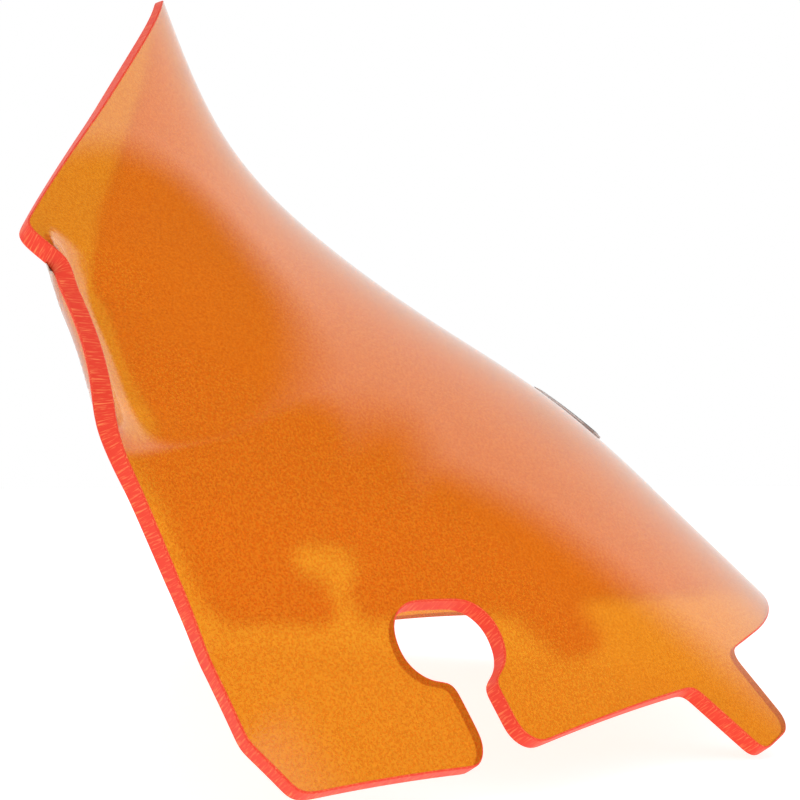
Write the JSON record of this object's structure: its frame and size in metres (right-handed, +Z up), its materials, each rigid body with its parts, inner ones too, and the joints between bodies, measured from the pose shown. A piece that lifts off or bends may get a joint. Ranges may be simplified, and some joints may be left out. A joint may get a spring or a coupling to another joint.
{
  "type": "motorcycle fairing windshield",
  "caption": "Tinted transparent fairing windshield for a motorcycle: one deep-drawn sheet with a flared lip, open side keyholes, front tabs and a small emblem.",
  "frame": {"origin": "on the centre plane, under the middle of the bounding box, level with the lowest point of the tabs", "axes": "+Z up, -Y forward to the nose, +X to the rider's left; the plan of the sheet slopes up to the rear at 45 degrees"},
  "size_m": [0.3714, 0.2266, 0.2247],
  "materials": {
    "tinted_sheet": "clear through-dyed orange polycarbonate with a fine texture, gloss",
    "clear_adhesive": "clear",
    "clear_plate": "polished clear",
    "dark_inlay": "gloss"
  },
  "bodies": {
    "root": {"windshield_panel": "tinted_sheet", "emblem_tape": "clear_adhesive", "emblem_plate": "clear_plate", "emblem_inlay": "dark_inlay"}
  },
  "joints": []
}
